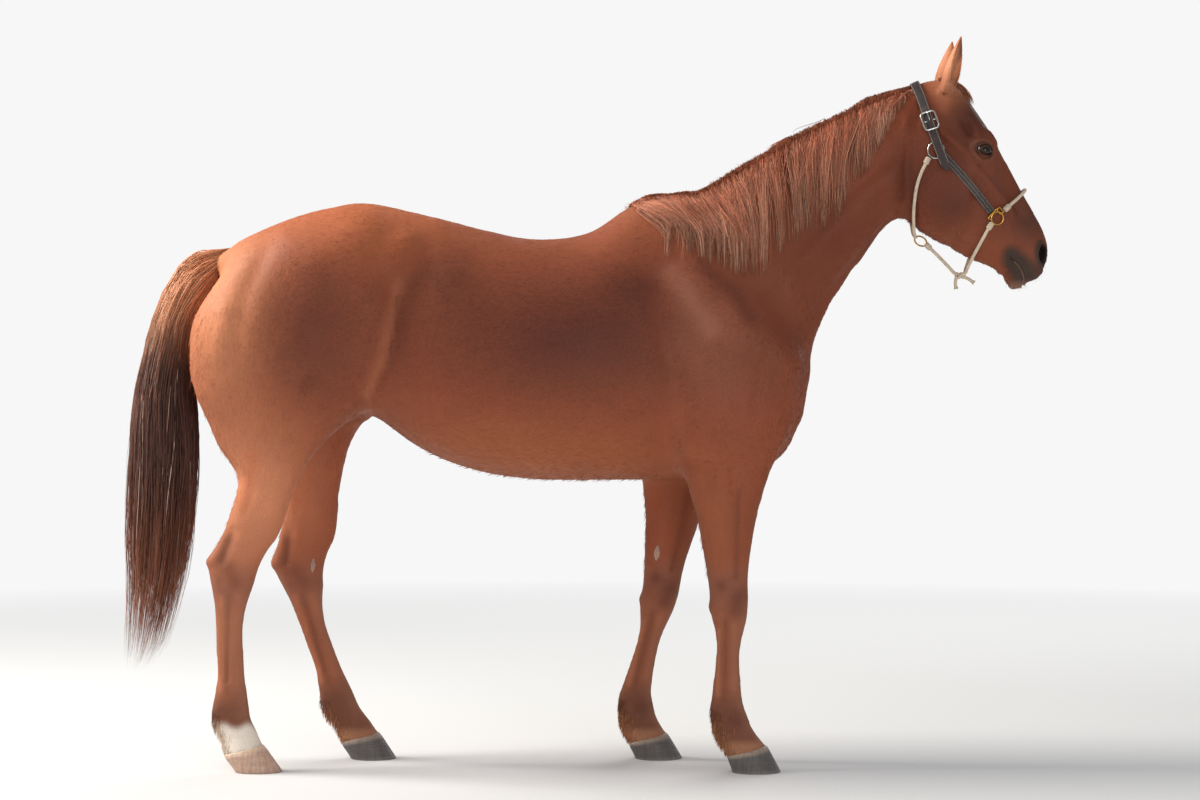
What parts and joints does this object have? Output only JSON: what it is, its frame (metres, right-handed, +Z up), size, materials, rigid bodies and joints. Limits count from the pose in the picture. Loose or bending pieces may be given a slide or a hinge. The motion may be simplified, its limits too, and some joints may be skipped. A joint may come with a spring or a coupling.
{
  "type": "standing stock horse wearing a halter",
  "caption": "Life-size standing chestnut horse with a leather and rope halter, head up and ears pricked, as a still museum model.",
  "frame": {"origin": "middle of the horse on the floor, under the middle of its overall length and width", "axes": "+X forward, the way the horse faces; +Y to its left side; +Z up"},
  "size_m": [2.502, 0.6002, 1.9545],
  "materials": {
    "coat": "short chestnut hair coat with a soft sheen",
    "mane_hair": "long chestnut mane hair",
    "tail_hair": "long dark brown tail hair, lighter at the dock and the ends",
    "hoof_dark": "dark grey horn",
    "hoof_pale": "pale pinkish horn under the white sock",
    "eye": "wet, dark brown eye",
    "leather": "dark brown strap leather with pale stitching",
    "rope": "cream braided rope",
    "silver": "polished nickel",
    "brass": "polished brass"
  },
  "bodies": {
    "root": {"ear_left": "coat", "ear_right": "coat", "eye_left": "eye", "eye_right": "eye", "fore_left_cannon": "coat", "fore_left_hoof": "hoof_dark", "fore_left_pastern": "coat", "fore_left_upper": "coat", "fore_right_cannon": "coat", "fore_right_hoof": "hoof_dark", "fore_right_pastern": "coat", "fore_right_upper": "coat", "halter_buckle_left": "silver", "halter_buckle_right": "silver", "halter_cheek_strap_left": "leather", "halter_cheek_strap_right": "leather", "halter_chin_knot": "rope", "halter_chin_rope_left": "rope", "halter_chin_rope_left_wrap_a": "rope", "halter_chin_rope_right": "rope", "halter_chin_rope_right_wrap_a": "rope", "halter_crown_strap": "leather", "halter_jaw_rope": "rope", "halter_jaw_rope_wrap_a": "rope", "halter_nose_rope": "rope", "halter_nose_rope_wrap_a": "rope", "halter_nose_rope_wrap_b": "rope", "halter_ring_left": "silver", "halter_ring_right": "silver", "halter_square_left": "brass", "halter_square_right": "brass", "halter_throat_ring": "brass", "halter_throat_rope_left": "rope", "halter_throat_rope_left_wrap_a": "rope", "halter_throat_rope_right": "rope", "halter_throat_rope_right_wrap_a": "rope", "head": "coat", "hind_left_cannon": "coat", "hind_left_hoof": "hoof_dark", "hind_left_pastern": "coat", "hind_left_upper": "coat", "hind_right_cannon": "coat", "hind_right_hoof": "hoof_pale", "hind_right_pastern": "coat", "hind_right_upper": "coat", "mane": "mane_hair", "neck": "coat", "tail": "tail_hair", "trunk": "coat"}
  },
  "joints": []
}
